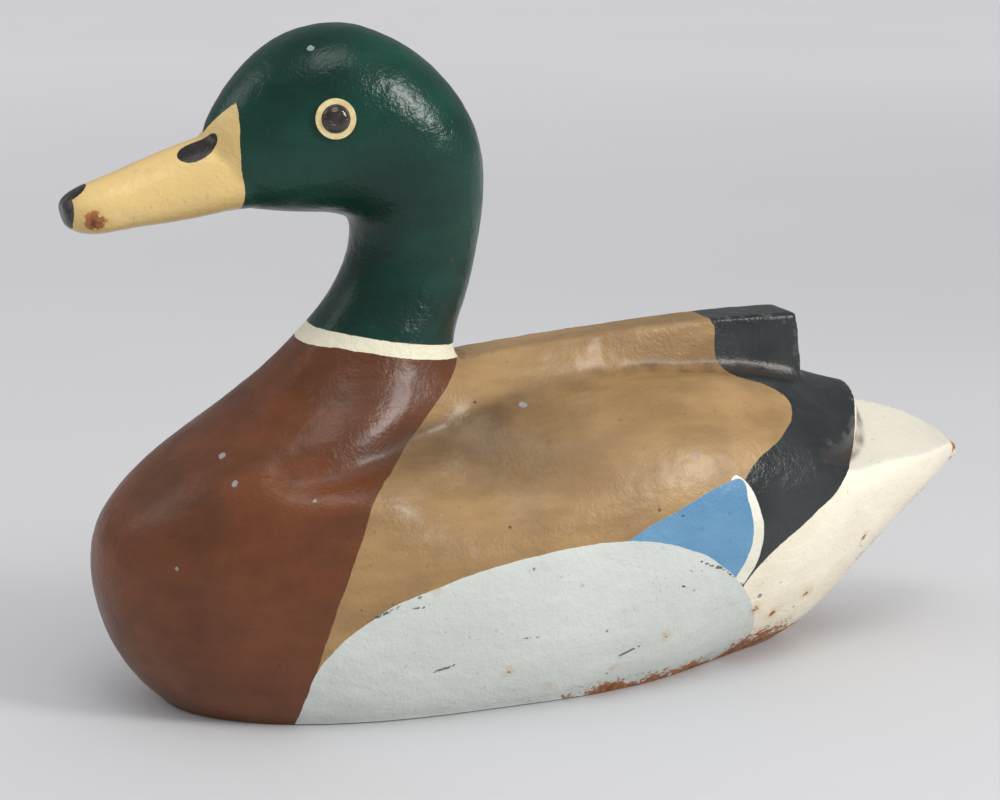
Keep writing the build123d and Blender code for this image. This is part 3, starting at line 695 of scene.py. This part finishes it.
# Light colour, dark colour, how metallic, roughness, scale of the clouds, and what else it has
PLAIN_FINISHES = {
    "pan_enamel": ((0.50, 0.54, 0.52), (0.38, 0.41, 0.39), 0.0, 0.45, 90,
                   {"rust": 0.9, "scuff": (0.16, 0.15, 0.14)}),
    "bare_steel": ((0.42, 0.40, 0.38), (0.27, 0.25, 0.23), 0.85, 0.45, 120, {"rust": 0.7}),
    "zinc_steel": ((0.60, 0.60, 0.58), (0.42, 0.42, 0.42), 0.9, 0.38, 260, {"rust": 0.2}),
    "ballast_iron": ((0.17, 0.16, 0.15), (0.10, 0.09, 0.085), 0.6, 0.62, 150,
                     {"rust": 0.5, "pit_depth": 0.0005}),
    "drain_brass": ((0.62, 0.47, 0.22), (0.34, 0.24, 0.11), 0.95, 0.4, 200, {"scuff": (0.20, 0.18, 0.10)}),
    "gasket_rubber": ((0.035, 0.034, 0.033), (0.02, 0.02, 0.02), 0.0, 0.7, 240, {}),
    "eye_ring_enamel": ((0.74, 0.62, 0.34), (0.60, 0.46, 0.22), 0.0, 0.34, 260,
                        {"scuff": (0.20, 0.13, 0.06), "coat": 0.3}),
    "eye_black": ((0.014, 0.012, 0.011), (0.030, 0.026, 0.022), 0.0, 0.18, 300,
                  {"scuff": (0.30, 0.24, 0.15), "coat": 0.5}),
}
MATERIALS = {"shell_enamel": shell_enamel()}
for slot_name, (light, dark, metal, rough, scale, more) in PLAIN_FINISHES.items():
    MATERIALS[slot_name] = plain_finish(slot_name, light, dark, metal, rough, scale, **more)
NODE_SLOTS = {part["node"]: part["material_slot"] for part in frame["record"]["subparts"]}
# Width of the rounding on the small pieces that show, in mm
BEVELS = {"eye_ring_left": 0.45, "eye_ring_right": 0.45, "drain_boss": 0.3, "drain_plug": 0.25,
          "line_cup": 0.3, "line_saddle": 0.3, "ballast_bar": 0.8, "ballast_nuts": 0.3,
          "ballast_washers": 0.15}
BEVEL_ANGLE = 35           # edges sharper than this many degrees are rounded


def dress_nodes():
    """Give every CAD node its finish, and round the edges of the small ones that show."""
    for name, node in frame["nodes"].items():
        node.data.materials.clear()
        node.data.materials.append(MATERIALS[NODE_SLOTS[name]])
        if name in BEVELS:
            bevel = node.modifiers.new("rounding", "BEVEL")
            bevel.width = BEVELS[name] * MM
            bevel.segments = 3
            bevel.limit_method = "ANGLE"
            bevel.angle_limit = math.radians(BEVEL_ANGLE)


def build_skin():
    """The two painted halves, which stand for the half shells."""
    whole = painted_skin()
    for side, name in ((-1, "left"), (1, "right")):
        data = sheet_from(cut_half(whole, side), name + "_painted_shell")
        skin = bpy.data.objects.new(name + "_painted_shell", data)
        bpy.context.collection.objects.link(skin)
        data.materials.append(MATERIALS["shell_enamel"])
        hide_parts(name + "_half_shell")
        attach(skin, "decoy")


# ---------------------------------------------------------------- stage, light and camera

CAMERA_AZIMUTH = -21
CAMERA_ELEVATION = 13
CAMERA_DISTANCE = 1.0
CAMERA_TARGET = Vector((-0.0165, 0, 0.100))
CAMERA_LENS = 97.2         # mm, on a sensor this wide
SENSOR_WIDTH = 36
FLOOR_LEVEL = -0.0005      # just under the flat base, so that the two don't share a plane
FLOOR_RINGS = (0.0, 0.6, 1.5, 4.0, 12.0)
FLOOR_SPOKES = 64
FLOOR_NEAR_SHADE = (0.53, 0.533, 0.545)
FLOOR_FAR = (0.80, 0.80, 0.825)
FLOOR_SHADE_FADE = (0.25, 2.3)   # distance from the bird over which the floor's painted shade turns paler
# Name, azimuth, elevation, distance, size, power in watts and colour
LAMPS = [
    ("window", 41, 27, 2.0, (0.45, 0.7), 2.9, (1, 0.985, 0.96)),
    ("side_window", -112, 36, 2.2, (1.2, 0.8), 0.7, (0.96, 0.98, 1)),
    ("overhead", -10, 70, 2.4, (1.0, 1.0), 1.3, (1, 1, 1)),
]
LAMPS_AIM = Vector((0, 0, 0.1))
LIGHT_SPREAD = 60          # degrees; keeps the windows' light on the bird and off the far floor
ROOM_COLOUR = (0.985, 0.985, 1.0)
ROOM_LIGHT = 0.86
ROOM_REFLECTED = 0.26      # the room's share in reflections, which keeps dark enamel dark


def toward(azimuth, elevation):
    """A unit vector from the bird: azimuth 0 is the left side, and 90 the tail."""
    a, e = math.radians(azimuth), math.radians(elevation)
    return Vector((math.sin(a) * math.cos(e), -math.cos(a) * math.cos(e), math.sin(e)))


def add_camera():
    camera = bpy.data.objects.new("camera", bpy.data.cameras.new("camera"))
    bpy.context.collection.objects.link(camera)
    camera.data.lens = CAMERA_LENS
    camera.data.sensor_width = SENSOR_WIDTH
    camera.data.clip_start = 0.01
    view = toward(CAMERA_AZIMUTH, CAMERA_ELEVATION)
    camera.location = CAMERA_TARGET + view * CAMERA_DISTANCE
    camera.rotation_euler = view.to_track_quat("Z", "Y").to_euler()
    bpy.context.scene.camera = camera


def add_floor():
    """A wide round floor with painted shade near the bird, paler with the distance from it."""
    points, faces = [], []
    for radius in FLOOR_RINGS:
        for k in range(FLOOR_SPOKES):
            turn = 2 * math.pi * k / FLOOR_SPOKES
            points.append((radius * math.cos(turn), radius * math.sin(turn), FLOOR_LEVEL))
    for row in range(len(FLOOR_RINGS) - 1):
        for k in range(FLOOR_SPOKES):
            a, b = row * FLOOR_SPOKES + k, row * FLOOR_SPOKES + (k + 1) % FLOOR_SPOKES
            faces.append((a, b, b + FLOOR_SPOKES, a + FLOOR_SPOKES))
    data = bpy.data.meshes.new("floor")
    data.from_pydata(points, [], faces)
    for face in data.polygons:
        face.use_smooth = True
    floor = bpy.data.objects.new("floor", data)
    bpy.context.collection.objects.link(floor)
    p = Paint("floor")
    reach = p.nodes.new("ShaderNodeVectorMath")
    reach.operation = "LENGTH"
    p.links.new(p.place, reach.inputs[0])
    cloud = p.ramp(p.noise(2.5, 3), 0.3, 0.7, 0.0, 0.06)
    # Painted shade: the floor is darker near the bird and paler further off.
    floor_shade = p.math("ADD", p.ramp(reach.outputs["Value"], *FLOOR_SHADE_FADE, 0.0, 0.94), cloud)
    colour = p.mix(floor_shade, FLOOR_NEAR_SHADE, FLOOR_FAR)
    data.materials.append(p.finish(colour, 0.75, p.bump(p.noise(60, 3), 0.1, 0.0004)))


def add_light(name, azimuth, elevation, distance, size, power, colour):
    """A rectangular lamp in a direction from the bird, which it faces."""
    lamp = bpy.data.lights.new(name, "AREA")
    lamp.spread = math.radians(LIGHT_SPREAD)
    lamp.shape = "RECTANGLE"
    lamp.size, lamp.size_y = size
    lamp.energy = power
    lamp.color = colour
    light = bpy.data.objects.new(name, lamp)
    bpy.context.collection.objects.link(light)
    way = toward(azimuth, elevation)
    light.location = LAMPS_AIM + way * distance
    light.rotation_euler = way.to_track_quat("Z", "Y").to_euler()


def add_lights():
    """The room's even light and three soft lamps."""
    world = bpy.data.worlds.new("studio")
    world.use_nodes = True
    bpy.context.scene.world = world
    backdrop = world.node_tree.nodes["Background"]
    backdrop.inputs["Color"].default_value = (*ROOM_COLOUR, 1)
    ray = world.node_tree.nodes.new("ShaderNodeLightPath")
    dimmed = world.node_tree.nodes.new("ShaderNodeMapRange")
    dimmed.inputs["To Min"].default_value = ROOM_LIGHT
    dimmed.inputs["To Max"].default_value = ROOM_REFLECTED
    world.node_tree.links.new(ray.outputs["Is Glossy Ray"], dimmed.inputs["Value"])
    world.node_tree.links.new(dimmed.outputs[0], backdrop.inputs["Strength"])
    for lamp in LAMPS:
        add_light(*lamp)
    bpy.context.scene.view_settings.view_transform = "Standard"


add_camera()
dress_nodes()
build_skin()
add_floor()
add_lights()
